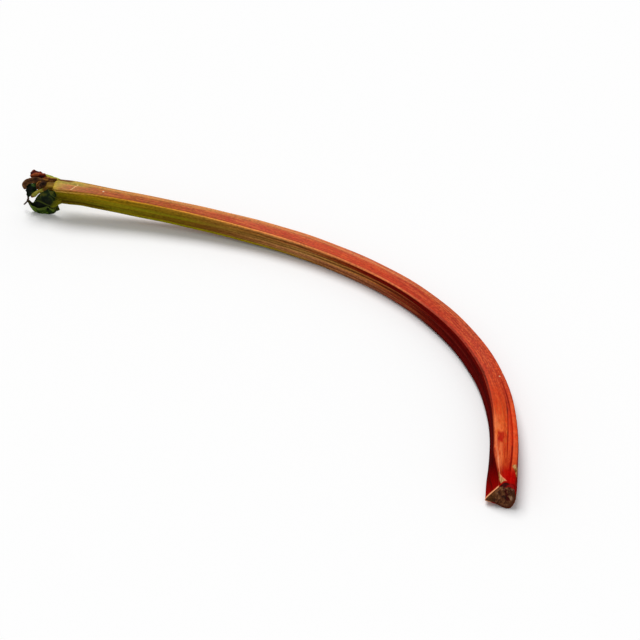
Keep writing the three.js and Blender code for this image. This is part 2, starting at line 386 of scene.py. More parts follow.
def section_point(radius, degrees, t):
    """A radius at an angle, as its reach towards the channelled side and up, turned by the twist at t."""
    angle = np.radians(degrees - (LEAF_TWIST + (BASE_TWIST - LEAF_TWIST) * t))
    return radius * np.cos(angle), radius * np.sin(angle)


def stalk_point(t, degrees, size=1.0, push=0.0, grow=None):
    """A point of the petiole: the section at t, scaled by size, stood across the plan line, with its
    underside pressed flat on the table. push moves it along the stalk, and the base slants back. grow
    stands on the plain section, and is the relief unless it is given."""
    t, degrees, size, push = np.broadcast_arrays(*np.atleast_1d(t, degrees, size, push))
    radius = plain_radius(t, degrees) + (relief(t, degrees) if grow is None else grow) - TRIM
    across, up = section_point(radius * size, degrees, t)
    coarse = np.arange(0, 360, UNDERSIDE_EVERY)
    every = np.linspace(0, 1, UNDERSIDE_STOPS)
    lowest = section_point(plain_radius(every[:, None], coarse), coarse, every[:, None])[1].min(1)
    centre = lift(t) - np.interp(t, every, lowest) - FLAT_DEPTH
    face = heading(t) + TURN
    push = push - SCAR_SLANT * up * rise(t, 0.965, 1)
    x = np.interp(t, STEPS, WALK[:, 0] * math.cos(TURN) - WALK[:, 1] * math.sin(TURN))
    y = np.interp(t, STEPS, WALK[:, 0] * math.sin(TURN) + WALK[:, 1] * math.cos(TURN))
    x = x + across * np.sin(face) + push * np.cos(face)
    y = y - across * np.cos(face) + push * np.sin(face)
    return np.stack([x, y, np.maximum(lift(t), centre + up)], -1)


def closed_skin(name, rings, poles, along, around, grain):
    """A mesh over rings of points, ring by point by xyz: a quad between each two neighbours, and a fan
    from each end ring to its pole. Its UV map holds along, one value a ring, and around, one value a
    point and one more for the seam. grain is a vector a point, kept as an attribute for the material.
    Where its signed volume is negative, its faces are turned to point outwards."""
    count, points = rings.shape[:2]
    vertices = np.concatenate([rings.reshape(-1, 3), poles])
    k, i = np.meshgrid(np.arange(count - 1), np.arange(points), indexing="ij")
    j = (i + 1) % points
    sides = [k * points + i, k * points + j, (k + 1) * points + j, (k + 1) * points + i]
    quads = np.stack(sides, -1).reshape(-1, 4)
    edge = np.arange(points)
    last = (count - 1) * points
    fans = np.concatenate([
        np.stack([np.roll(edge, -1), edge, np.full(points, count * points)], -1),
        np.stack([last + edge, last + np.roll(edge, -1), np.full(points, count * points + 1)], -1),
    ])
    around = np.broadcast_to(around, (count, points + 1))
    u = np.concatenate([
        np.stack([along[k], along[k], along[k + 1], along[k + 1]], -1).ravel(),
        np.repeat([along[0], along[-1]], 3 * points),
    ])
    v = np.concatenate([
        np.stack([around[k, i], around[k, i + 1], around[k + 1, i + 1], around[k + 1, i]], -1).ravel(),
        np.stack([around[0, 1:], around[0, :-1], around[0, :-1]], -1).ravel(),
        np.stack([around[-1, :-1], around[-1, 1:], around[-1, 1:]], -1).ravel(),
    ])
    mesh = bpy.data.meshes.new(name)
    mesh.from_pydata(vertices.tolist(), [], quads.tolist() + fans.tolist())
    mesh.uv_layers.new(name="skin").data.foreach_set("uv", np.stack([u, v], -1).astype(np.float32).ravel())
    held = mesh.attributes.new("grain", "FLOAT_VECTOR", "POINT")
    every_grain = np.concatenate([grain.reshape(-1, 3), grain[[0, -1]].mean(1)])
    held.data.foreach_set("vector", every_grain.astype(np.float32).ravel())
    mesh.polygons.foreach_set("use_smooth", np.ones(len(mesh.polygons), bool))
    corner = vertices[quads] - vertices.mean(0)
    volume = np.einsum("ij,ij->i", corner[:, 0], np.cross(corner[:, 1], corner[:, 2])).sum()
    volume += np.einsum("ij,ij->i", corner[:, 0], np.cross(corner[:, 2], corner[:, 3])).sum()
    if volume < 0:
        mesh.flip_normals()
    piece = bpy.data.objects.new(name, mesh)
    bpy.context.collection.objects.link(piece)
    return piece


# The pale line on the ridge runs a little above or below the corner. Each pair is a t and its angle there.
RIDGE_LINE = [
    (0, 30), (0.035, 42), (0.06, 49), (0.09, 54), (0.15, 58.5), (0.2, 57), (0.25, 52), (0.31, 48), (0.5, 44),
    (0.64, 46), (0.72, 50), (0.79, 50), (0.84, 43), (0.89, 38), (0.94, 41), (0.97, 54), (0.99, 72), (1, 78),
]
around = np.linspace(0, 1, AROUND + 1)
degrees = around[:-1] * 360 - 90
way = np.linspace(0, 1, RINGS)
along = way - RING_CROWDING * np.sin(2 * math.pi * way)
body_rings = stalk_point(along[:, None], degrees[None, :])
# It is moved over the table, so that the middle of its box is the middle of the CAD petiole's.
own_low, own_high = body_rings.min((0, 1)), body_rings.max((0, 1))
cad_low, cad_high = (np.array(corner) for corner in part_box("petiole"))
OFFSET = np.append(((cad_low + cad_high) / 2 - (own_low + own_high) / 2)[:2], 0)


def leaf_place(points):
    """Where points of the leaf end are in the frame. They are given in millimetres: out past the
    petiole's end, towards its channelled side, and up."""
    out, side, up = np.moveaxis(np.asarray(points, float) / 1000, -1, 0)
    x = -out * math.cos(TURN) + side * math.sin(TURN) + OFFSET[0]
    y = -out * math.sin(TURN) - side * math.cos(TURN) + OFFSET[1]
    return np.stack([x, y, up], -1)


# The leaf end draws in to a slanted dome that runs up into the midrib.
DOME_TIP = [6.5, -0.2, 25.4]
DOME_RINGS = 15
DOME_ALONG = -0.015
dome_tip = leaf_place(DOME_TIP)
dome_way = (1 - (1 - np.linspace(0, 1, DOME_RINGS + 1)[:0:-1]) ** 2)[:, None, None]
end_ring = stalk_point(0.0, degrees) + OFFSET
end_centre = end_ring.mean(0)
dome_size = np.clip(1 - dome_way ** 1.5, 0.002, 1) ** 0.55
dome = end_centre + (dome_tip - end_centre) * dome_way + (end_ring - end_centre)[None] * dome_size
# At the base the skin turns in over a narrow rim, and back inside under the scar.
RIM_SIZES = np.array([[0.99], [0.965], [0.93], [0.9]])
RIM_PUSHES = np.array([[0.00015], [0.0001], [-0.0004], [-0.003]])
base_rim = stalk_point(1.0, degrees[None, :], RIM_SIZES, RIM_PUSHES) + OFFSET
base_middle = stalk_point(1.0, 0.0, 0.0, RIM_PUSHES[-1])[0] + OFFSET
rings = np.concatenate([dome, body_rings + OFFSET, base_rim])
rim_along = 1 + 0.01 * np.arange(1, len(RIM_SIZES) + 1)
ring_along = np.concatenate([DOME_ALONG * dome_way[:, 0, 0], along, rim_along])
# The skin's grain is a straight rod of even thickness, so its fibres run along the stalk.
GRAIN_RADIUS = 0.011
grain_across = GRAIN_RADIUS * np.cos(np.radians(degrees))
grain_up = GRAIN_RADIUS * np.sin(np.radians(degrees))
grain = np.stack(np.broadcast_arrays(grain_across, grain_up, ring_along[:, None] * LENGTH), -1)
# Its UV map is pulled round, so that the pale line is at the ridge's own angle all along.
RIDGE_ANGLE = 45
ridge_at = np.interp(ring_along, *np.transpose(RIDGE_LINE))[:, None]
full_turn = around * 360 - 90
skin_angle = full_turn - (ridge_at - RIDGE_ANGLE) * np.exp(-(((full_turn - 50) / 42) ** 2))
petiole = closed_skin(
    "petiole_skin", rings, np.array([dome_tip, base_middle]), ring_along, (skin_angle + 90) / 360, grain)

skin = Finish(bpy.data.materials.new("ribbed_skin"))
t = skin.part(skin.skin_map(), "X")
angle = skin.part(skin.skin_map(), "Y") * 360 - 90
fibre = skin.grain()
broad = skin.noise(fibre, (220, 220, 9))
lines = skin.noise(fibre, (480, 480, 4), detail=1)
ribs = skin.noise(fibre, (850, 850, 5), detail=1)
fine = skin.noise(fibre, (1000, 1000, 40))
dashes = skin.noise(fibre, (620, 620, 130), detail=1)
flecks = skin.noise(fibre, (800, 800, 420), detail=1)
mottle = skin.noise(fibre, (140, 140, 60), detail=3, roughness=0.6)
# The same noises about nought, which make an edge between two colours wander.
broad_sway = broad - 0.5
line_sway = lines - 0.5
fine_sway = fine - 0.5
dash_sway = dashes - 0.5
fleck_sway = flecks - 0.5
mottle_sway = mottle - 0.5

# The colours along the stalk, each at its own angle round it, from the leaf end to the base.
top_face = skin.ramp(
    t, (0, "c89a50"), (0.06, "b26630"), (0.18, "b2581c"), (0.32, "c25630"), (0.48, "c94c2a"),
    (0.6, "b83a20"), (0.78, "c04630"), (0.85, "ca4620"), (0.905, "f07030"), (1.0, "ae140a"))
top_near = skin.ramp(
    t, (0, "a86a34"), (0.06, "8e4a12"), (0.15, "864008"), (0.24, "883604"), (0.34, "ac4820"),
    (0.6, "b8442c"))
top_edge = skin.ramp(
    t, (0, "c09a4e"), (0.12, "b87a34"), (0.27, "d08448"), (0.5, "d06a46"), (0.63, "c45a38"),
    (0.78, "c03e24"), (0.85, "b82c10"), (0.9, "bc1e0a"), (1.0, "980a05"))
red_band = skin.ramp(
    t, (0, "a8583a"), (0.12, "a0401c"), (0.3, "bc4230"), (0.5, "c83c24"), (0.7, "b43a28"),
    (0.86, "c83008"), (1.0, "960804"))
inner_high = skin.ramp(
    t, (0, "685604"), (0.04, "94740c"), (0.09, "98760e"), (0.2, "9a741a"), (0.3, "b0762e"),
    (0.38, "b66e34"), (0.45, "9e4a18"), (0.51, "7c1604"), (0.57, "720602"), (0.7, "5c0302"),
    (0.88, "580101"), (0.955, "420101"), (1.0, "8a0302"))
inner_face = skin.ramp(
    t, (0, "6a5c08"), (0.04, "846e0c"), (0.09, "8c740e"), (0.2, "8a7012"), (0.3, "926828"),
    (0.4, "ac7c3a"), (0.47, "b67c3a"), (0.54, "9a4a1a"), (0.6, "741c0a"), (0.66, "5e0503"),
    (0.88, "500101"), (0.955, "400101"), (1.0, "8e0402"))
inner_low = skin.ramp(
    t, (0, "5c4e0a"), (0.05, "6c560a"), (0.15, "7a5a0c"), (0.25, "7e5014"), (0.32, "ac7034"),
    (0.42, "d89052"), (0.5, "d47a46"), (0.56, "b84e2e"), (0.62, "741a0e"), (0.7, "500807"),
    (0.88, "480202"), (0.955, "400101"), (1.0, "8c0402"))
outer_face = skin.ramp(
    t, (0, "7c6c22"), (0.18, "94582a"), (0.4, "a84a30"), (0.6, "9c2f20"), (0.85, "9a1c12"),
    (1.0, "7a0c06"))
ridge_line = skin.ramp(
    t, (0, "c8a044"), (0.04, "bc8e30"), (0.1, "b88418"), (0.17, "c88a26"), (0.22, "e09a3a"),
    (0.34, "ec944e"), (0.5, "e0804a"), (0.58, "d06c40"), (0.64, "a84430"), (0.72, "943626"),
    (0.81, "702418"), (0.9, "962a1a"), (1.0, "a03020"))
low_edge = skin.ramp(
    t, (0, "7c760e"), (0.06, "887e0e"), (0.2, "968c12"), (0.34, "9c8414"), (0.42, "9c6830"),
    (0.5, "986246"), (0.58, "84402e"), (0.66, "500c08"), (0.95, "4c0303"), (1.0, "8c0402"))
inner_stripe = skin.ramp(
    t, (0, "544804"), (0.15, "644e0a"), (0.28, "8c5a2a"), (0.4, "a46a3c"), (0.52, "984830"),
    (0.62, "74140c"), (1.0, "6a0404"))

# The top: a brown strip beside the ridge, orange-red over the middle, and a paler outer edge, with red and
# pale flecks and pale ribs over them.
plain_end = skin.rise(t, 0.78, 0.86)
near_share = skin.rise(angle + 16 * line_sway, 66, 52) * skin.rise(t, 0.7, 0.5)
band_share = skin.band(angle + 24 * line_sway, 62, 96, 14)
speckle = skin.rise(dashes + 0.5 * fine_sway + 0.5 * fleck_sway, 0.4, 0.62)
pale_share = (0.16 + 0.14 * skin.rise(t, 0.4, 0.2)) * (1 - 0.7 * plain_end)
pale_flecks = skin.rise(fine + 0.5 * fleck_sway, 0.5, 0.62) * skin.rise(angle, 52, 70)
red_flecks = skin.rise(flecks + 0.4 * dash_sway, 0.5, 0.66)
red_flecks = red_flecks * skin.rise(t, 0.01, 0.05) * skin.rise(t, 0.75, 0.6)
bright_ribs = skin.rise(ribs, 0.54, 0.62) * skin.rise(angle, 84, 104)
colour = skin.lay(
    top_face,
    (0.8 * near_share, top_near),
    (skin.rise(angle + 50 * broad_sway, 94, 120), top_edge),
    (band_share * (0.15 + 0.6 * speckle), red_band),
    (pale_share * pale_flecks, "dc9446"),
    (0.35 * red_flecks, "a82c18"),
    (0.5 * bright_ribs * skin.rise(t, 0.8, 0.6), "dc9458"),
    (skin.rise(angle, 132, 146), outer_face))

# The channelled inner face: three colours from its upper to its lower part, with stripes, ribs and lines.
high_share = skin.rise(angle + 14 * line_sway, 18, 30)
late = skin.rise(t, 0.4, 0.5)
stripes = skin.rise(0.5 * lines + 0.5 * ribs, 0.46, 0.54) * skin.rise(t, -0.1, 0.3)
stripes = stripes * (1 - 0.9 * high_share * late)
green_streaks = skin.rise(0.6 * broad + 0.4 * ribs, 0.5, 0.58) * skin.rise(t, 0.34, 0.22)
lined = skin.band(t, 0.38, 0.6, 0.1)
rib_level = ribs + 0.3 * fine_sway
dark_ribs = skin.rise(rib_level, 0.47, 0.39) * skin.rise(t, 0.12, 0.3)
pale_ribs = skin.rise(rib_level, 0.53, 0.6) * skin.rise(t, 0.66, 0.5) * skin.rise(t, 0.22, 0.36)
pale_line = skin.band(angle, -20, -12, 4) * skin.rise(t, 0.3, 0.38) * skin.rise(t, 0.58, 0.5)
dark_line = skin.band(angle, -28, -24, 2.5) * skin.rise(t, 0.36, 0.46) * skin.rise(t, 0.62, 0.56)
under_ridge = skin.band(angle, 36, 42, 4) * skin.rise(t, 0.38, 0.5)
thin_pink = skin.rise(lines, 0.56, 0.64) * skin.rise(t, 0.58, 0.66) * skin.rise(t, 0.84, 0.74)
inner_colour = skin.lay(
    inner_face,
    (skin.rise(angle + 12 * broad_sway, 0, -12), inner_low),
    (high_share, inner_high),
    (0.65 * stripes * skin.rise(t, 0.97, 0.9), inner_stripe),
    (0.4 * green_streaks, "868c16"),
    ((0.4 + 0.22 * lined) * dark_ribs, "3a0a04"),
    ((0.35 + 0.3 * lined) * pale_ribs * (1 - high_share * late), "c0904e"),
    (0.5 * pale_line, "c88054"),
    (0.75 * dark_line, "54100a"),
    (0.6 * under_ridge, "5c0a04"),
    (0.15 * thin_pink * skin.band(angle, -8, 30, 8), "a04838"))
low_line = skin.band(angle + 5 * line_sway, -31, -24, 4) * skin.rise(t, 0.1, 0.06)
edge_from = angle + 8 * line_sway + 6 * skin.rise(t, 0.12, 0.06)
colour = skin.lay(
    colour,
    (skin.rise(angle, 44.5, 42), inner_colour),
    (0.75 * low_line, "3e2c00"),
    (skin.rise(edge_from, -29, -36), low_edge))

# The leaf end: straw and lime on top, a darker dome, painted shade on the inner face at the very end, where
# the blade meets it, and withered along its outer edge. A scratch crosses the top there.
on_top = skin.rise(angle, 46, 56)
leaf_end = skin.rise(t + 0.03 * line_sway + 0.01 * mottle_sway, 0.018, -0.003)
dome_shade = skin.rise(t + 0.004 * mottle_sway, -0.005, -0.009) * on_top
above_ridge = skin.band(angle + 4 * line_sway, 51, 57, 3) * skin.rise(t, 0.08, 0.04)
# Painted shade on the inner face where the blade meets the petiole's end.
end_shade = skin.rise(t + 0.006 * mottle_sway, 0.006, -0.002) * skin.rise(angle, 40, 20)
lime = skin.band(angle + 20 * line_sway, 98, 122, 8) * skin.rise(t, 0.06, 0.03)
withered_edge = skin.band(angle + 26 * broad_sway + 14 * mottle_sway, 119, 146, 6)
withered_edge = withered_edge * skin.rise(t + 0.02 * line_sway + 0.014 * mottle_sway, 0.026, 0.016)
scratch = t + 0.0025 * fleck_sway + 0.0025 * fine_sway - 0.0255 - 0.00018 * (angle - 70)
scratch = skin.rise(scratch.math("ABSOLUTE"), 0.0012, 0.0003)
colour = skin.lay(
    colour,
    (0.9 * leaf_end * on_top, "bca23e"),
    (0.9 * dome_shade, "725606"),
    (0.75 * above_ridge, "8c5c10"),
    (0.8 * end_shade, "3e420c"),
    (0.75 * lime, "a8983a"),
    (0.9 * withered_edge, "63300e"),
    (0.85 * scratch * skin.band(angle, 66, 104, 5), "ecc98c"))

# Three small pale scars: each is a place along, an angle, a size in millimetres and a colour.
for at, at_angle, mark_size, mark in (
        (0.0725, 88, 1.0, "f0dcb8"), (0.795, 138, 1.1, "e8b48c"), (0.8025, 118, 0.9, "e8b48c")):
    mark_along = (t - at) * (LENGTH * 1000 / mark_size)
    mark_across = (angle - at_angle) * (0.19 / mark_size)
    mark_reach = mark_along ** 2 + mark_across ** 2 + 1.6 * fine_sway
    colour = skin.mix(skin.rise(mark_reach, 1.1, 0.3), colour, mark)

# The underside and the ridge; and towards the base two furrows, painted dark as the shade in them, a painted
# highlight on the outer bead beside them, a bruise, painted highlights beside the ridge, red at the scar, and
# a blot.
underside = skin.rise(angle, -58, -74) + skin.rise(angle, 228, 250)
ridge = skin.band(angle, RIDGE_ANGLE, 50, 2.5)
above = skin.rise(angle, 45, 48)
# Both grooves are painted dark red as the shade in them.
furrow = skin.band(angle + 6 * broad_sway, 116, 120, 3) * skin.rise(t, 0.78, 0.86)
branch = skin.band(angle + 12 * skin.rise(t, 0.84, 0.93), 108, 112, 3)
branch = branch * skin.rise(t, 0.82, 0.87) * skin.rise(t, 0.97, 0.93)
# A painted highlight along the outer bead.
outer_bead_highlight = skin.band(angle, 124, 134, 4) * skin.rise(t, 0.82, 0.87) * skin.rise(t, 0.99, 0.95)
bruise = skin.rise(t + 0.03 * mottle_sway, 0.85, 0.875) * skin.rise(t, 0.97, 0.9)
bruise = bruise * skin.rise(mottle, 0.46, 0.6)
# Painted highlights in patches on the top face beside the ridge.
ridge_highlight = skin.rise(t, 0.86, 0.9) * skin.rise(t, 0.985, 0.95)
ridge_highlight = ridge_highlight * skin.rise(mottle + 0.4 * fine_sway, 0.38, 0.56)
red_end = skin.band(angle + 30 * mottle_sway, 84, 138, 8)
red_end = red_end * skin.rise(t + 0.014 * mottle_sway, 0.962, 0.98)
blot = skin.band(t + 0.02 * mottle_sway, 0.909, 0.92, 0.006)
blot = blot * skin.band(angle + 40 * dash_sway, 64, 76, 9)
colour = skin.lay(
    colour,
    (underside, outer_face),
    (0.95 * ridge, ridge_line),
    (0.95 * furrow.math("MAXIMUM", branch), "7c0802"),
    (0.6 * outer_bead_highlight, "e0602c"),
    (0.6 * bruise * skin.band(angle, 72, 130, 10), "d02c04"),
    (0.65 * ridge_highlight * above * skin.rise(angle, 84, 66), "ec7c48"),
    (0.85 * red_end, "ac0402"),
    (0.85 * blot, "a80802"))

# Near the scar the skin is torn: a pale edge runs from the ridge across to it, with a dark red strip of
# painted shade just below that edge, dried flesh below that, and a strip of dried skin is left on the outer
# side.
torn_edge = 57.5 + 2800 * (t - 0.981).math("MAXIMUM", 0.0)
dried_skin = skin.ramp(mottle + 0.4 * fleck_sway, (0.4, "5c3410"), (0.5, "9a6c34"), (0.6, "c89c68"))
# The dark red just under the torn edge is painted shade.
notch_shade = skin.rise(t, 0.974, 0.98) * above * skin.rise(torn_edge - angle, -2, 3)
dried_notch = notch_shade * skin.rise(torn_edge - angle + 20 * mottle_sway, 30, 24)
pale_edge = skin.band(angle - torn_edge + 8 * fine_sway, -1.5, 1.5, 3) * skin.rise(t, 0.91, 0.97)
strip_edge = 120 + 950 * (t - 0.961)
strip_reach = ((t - 0.972) / 0.0115) ** 2 + ((angle - 134) / 20) ** 2
strip_reach = strip_reach + 1.2 * mottle_sway + 1.6 * fine_sway
strip = skin.rise(angle + 14 * mottle_sway - strip_edge, -1, 2) * skin.rise(strip_reach, 1.05, 0.8)
colour = skin.lay(
    colour,
    (0.9 * notch_shade, "7c0603"),
    (0.95 * dried_notch, dried_skin),
    ((0.3 + 0.9 * mottle) * pale_edge, "ec9068"),
    (0.9 * strip, dried_skin))

# The noises also make every colour stronger and weaker, and the skin's rim at the scar has its own colours:
# red, brown on the outer side and below, and pale on the channelled side as a painted highlight.
strength = 1.0 + 0.35 * broad_sway + 0.4 * (ribs - 0.5)
strength = strength + (0.8 * fine_sway + 1.2 * fleck_sway) * (1 - 0.5 * plain_end)
colour = skin.node("ShaderNodeVectorMath", {"operation": "SCALE"}, {0: colour, "Scale": strength})
rim_colour = skin.mix(skin.rise(angle, 160, 178), "a00a05", "6c3418")
# The pale on the rim's channelled side is a painted highlight.
rim_colour = skin.mix(skin.rise(angle, 60, 46) * skin.rise(angle, -76, -62), rim_colour, "eca070")
colour = skin.mix(skin.rise(t + 0.002 * mottle_sway, 0.9965, 0.9985), colour, rim_colour)
height = 0.5 * lines + 0.35 * fine + 0.15 * dashes + 0.1 * flecks
dullness = 0.5 + 0.2 * mottle
coat = 0.015 + 0.085 * skin.rise(angle, 44, 60) * (0.5 + dashes) * skin.rise(t, 0.99, 0.93)
skin.surface(colour, dullness, height, 0.0003, **{"Coat Weight": coat, "Coat Roughness": 0.35})
petiole.data.materials.append(skin.owner)
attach(petiole, "root")
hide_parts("petiole")


# ---- Base scar ----
# Where the stalk was pulled off the crown: torn flesh that has dried brown and cracked, inside a rim of
# skin that is painted pale on its channelled side as a highlight. It grew with the petiole, and is a piece of
# its own for its finish.
SCAR_RINGS = 44
SCAR_AROUND = 192
SCAR_EDGE = 0.93
SCAR_BULGE = 0.0006
SCAR_ROUGH = 0.0007
SCAR_BACK = -0.0035

scar_size = np.linspace(0.03, SCAR_EDGE, SCAR_RINGS)[:, None]
scar_turn = np.linspace(0, 360, SCAR_AROUND + 1)[:-1][None, :]
scar_radius = 1000 * plain_radius(1.0, scar_turn) * scar_size
flat_x = scar_radius * np.cos(np.radians(scar_turn))
flat_y = scar_radius * np.sin(np.radians(scar_turn))
# Its face is three uneven waves, each finer and lower than the one before, with two cracks: a long one that
# runs upwards in its outer half, and a short branch of it. A crack's section is the falling exponential of
# a square.
rough = ripple(0.9 * flat_x + 1.3, 0.8 * flat_y + 0.4)
rough = rough + 0.6 * ripple(1.9 * flat_x + 0.7 * flat_y, 1.7 * flat_y - flat_x)
rough = rough + 0.35 * ripple(4.1 * flat_x - flat_y, 3.7 * flat_y + 2)
split = flat_x + 6.4 - 0.53 * flat_y + 0.5 * np.sin(2 * flat_y)
split_width = 1.1 + 0.4 * np.sin(1.7 * flat_y)
crack = -1.6 * np.exp(-((split / split_width) ** 2)) * rise(np.abs(flat_y), 4.8, 3.2)
side_split = flat_y - 4.3 + 0.5 * (flat_x + 9.4)
crack = crack - 1.2 * np.exp(-((side_split / 0.7) ** 2)) * rise(np.abs(flat_x + 9.2), 1.6, 0.8)
depth = (rough + crack) * (1 - rise(scar_size, 0.8, SCAR_EDGE))
scar_push = SCAR_BULGE * (1 - scar_size ** 2) + SCAR_ROUGH * depth
scar_face = stalk_point(1.0, scar_turn, scar_size, scar_push, grow=0.0) + OFFSET
scar_back = stalk_point(1.0, scar_turn, np.array([[0.9], [0.3]]), SCAR_BACK, grow=0.0) + OFFSET
scar_rings = np.concatenate([scar_face, scar_back])
back_middle = stalk_point(1.0, 0.0, 0.0, SCAR_BACK)[0] + OFFSET
scar_poles = np.array([scar_face[0].mean(0), back_middle])
scar_grain = np.zeros(scar_rings.shape)
# The grain keeps the place on the face and the crack depth, by which the finish paints shade in the cracks.
scar_grain[:SCAR_RINGS] = np.stack(np.broadcast_arrays(flat_x, flat_y, crack), -1)
scar_along = np.append(scar_size[:, 0], [1.0, 1.0])
scar = closed_skin(
    "base_scar", scar_rings, scar_poles, scar_along, np.linspace(0, 1, SCAR_AROUND + 1), scar_grain)

dried = Finish(bpy.data.materials.new("dried_flesh"))
from_middle = dried.part(dried.skin_map(), "X")
turned = dried.part(dried.skin_map(), "Y") * 360
inwards = dried.part(dried.grain(), "X")
upwards = dried.part(dried.grain(), "Y")
crack_shade = dried.part(dried.grain(), "Z") * -1.0
lumps = dried.noise(dried.place(), (260, 260, 260), detail=4, roughness=0.6)
grit = dried.noise(dried.place(), (900, 900, 900), detail=3, roughness=0.65)
lump_sway = lumps - 0.5
level = lumps + 0.14 * (grit - 0.5) - 0.06 * dried.rise(upwards, 0, -6)
flesh = dried.ramp(
    level, (0.34, "2c0e08"), (0.42, "562a12"), (0.5, "764626"), (0.57, "946640"), (0.64, "c09c80"))
# Its upper corner is a hollow under the torn skin: maroon, and red towards the outer side.
hollow_from = 0.58 + 0.00025 * (turned - 115) ** 2 + 0.1 * lump_sway
hollow_colour = dried.mix(dried.rise(turned + 20 * lump_sway, 118, 128), "4c0604", "ac0a04")
colour = dried.lay(
    flesh,
    (0.6 * dried.rise(inwards, 0, 4), "6c4010"),
    # The cracks are painted dark red as the shade in them.
    (0.95 * dried.rise(crack_shade + 0.8 * lump_sway, 0.3, 0.65), "500504"),
    (0.8 * dried.rise(from_middle + 0.4 * lump_sway, 0.76, 0.92), "4c1e0c"),
    (dried.rise(from_middle - hollow_from, -0.015, 0.02), hollow_colour))
scar.data.materials.append(dried.surface(colour, 0.85, lumps + 0.4 * grit, 0.0008, 0.2))
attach(scar, "root")


# ---- Leaf veins ----
# The leaf was twisted off, and three of its veins are left: the midrib and one to each side of it. They
# are soft yellow-green tissue that grew out of the petiole's end, dried brown where they are broken.
# Sizes at the leaf end are in millimetres, and a path's points are as leaf_place takes them.
TABLE_GAP = 0.15
TOP_LEVEL = 1000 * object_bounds()[1][2] - 0.1
VEIN_RINGS = 90
VEIN_AROUND = 48


def glide(stops, u):
    """A smooth way through the stops at even shares of u: a cubic between each two, whose slope at a stop
    is half the step between that stop's neighbours."""
    stops = np.asarray(stops, float)
    ends = np.concatenate([2 * stops[:1] - stops[1:2], stops, 2 * stops[-1:] - stops[-2:-1]])
    place = np.clip(u, 0, 1) * (len(stops) - 1)
    k = np.minimum(place.astype(int), len(stops) - 2)
    w = (place - k).reshape(place.shape + (1,) * (stops.ndim - 1))
    before, here, there, after = ends[k], ends[k + 1], ends[k + 2], ends[k + 3]
    return 0.5 * (2 * here + (there - before) * w + (2 * before - 5 * here + 4 * there - after) * w ** 2
                  + (3 * here - before - 3 * there + after) * w ** 3)


def rounded_ends(u, share, least):
    """1 along u, and down by a quarter circle over that share of it at each end, to the root of least."""
    return np.sqrt(np.clip(1 - (1 - np.minimum(u, 1 - u) / share).clip(0) ** 2, least, 1))


def vein(name, path, radii, ribs, knobs, squash=1.0):
    """A closed tube along a path. Its radius goes through radii, and is rounded off at both ends. It has
    ribs, a number and a height as a share of the radius, and knobs: a slow uneven swelling along it, by
    a share and with a phase. squash makes it wider than it is high."""
    along = np.linspace(0, 1, VEIN_RINGS)
    u = along[:, None]
    centre = glide(path, along)
    tangent = np.gradient(centre, axis=0)
    tangent /= np.linalg.norm(tangent, axis=1, keepdims=True)
    side = np.cross([0, 0, 1], tangent)
    side /= np.linalg.norm(side, axis=1, keepdims=True)
    up = np.cross(tangent, side)
    turn = np.linspace(0, 2 * math.pi, VEIN_AROUND + 1)[None, :-1]
    share, phase = knobs
    ribbing = np.cos(ribs[0] * turn + 3 * u)
    swelling = ripple(14 * u + phase, turn + 5 * u) + 0.6 * ripple(31 * u + 2 * phase, 3 * turn + phase)
    radius = (glide(radii, along) * rounded_ends(along, 0.06, 0.02))[:, None]
    radius = radius * (1 + ribs[1] * ribbing) * (1 + share * swelling)
    rings = (centre[:, None] + side[:, None] * (radius * squash * np.cos(turn))[..., None]
             + up[:, None] * (radius * np.sin(turn))[..., None])
    rings[..., 2] = np.clip(rings[..., 2], TABLE_GAP, TOP_LEVEL)
    # The grain's last part is the height of the ribs and swellings, by which a withered finish paints shade
    # between them.
    grain = np.stack(np.broadcast_arrays(turn / (2 * math.pi), u, 0.3 * (ribbing + swelling)), -1)
    around = np.linspace(0, 1, VEIN_AROUND + 1)
    return closed_skin(name, leaf_place(rings), leaf_place(centre[[0, -1]]), along, around, grain)


def vein_finish(name, dark, body, light, browned=0.0):
    """Young vein: three yellow-greens in strands along it, spotted brown, and dried brown at its end, and
    over its first part too, up to the share browned."""
    finish = Finish(bpy.data.materials.new(name))
    u = finish.part(finish.skin_map(), "X")
    strands = finish.noise(finish.skin_map(), (2.5, 26, 1))
    mottle = finish.noise(finish.place(), (300, 300, 300), detail=3, roughness=0.6)
    colour = finish.lay(
        finish.ramp(strands, (0.3, dark), (0.45, body), (0.62, light)),
        (0.35 * finish.rise(mottle, 0.5, 0.62), "8e6018"),
        (finish.rise(u + 0.25 * (mottle - 0.5), 0.78, 0.94), "5e2c0c"),
        (0.9 * finish.rise(u + 0.2 * (mottle - 0.5), browned, browned - 0.12), "5c3206"))
    return finish.surface(colour, 0.5 + 0.2 * mottle, strands + 0.3 * mottle, 0.0003, 0.12)


yellow_vein = vein_finish("yellow_vein", "442e02", "6a4c04", "94741a")
olive_vein = vein_finish("olive_vein", "4e5206", "7c7a12", "b4b04c", browned=0.4)
lime_vein = vein_finish("lime_vein", "6c740c", "9ca226", "bcbc40")
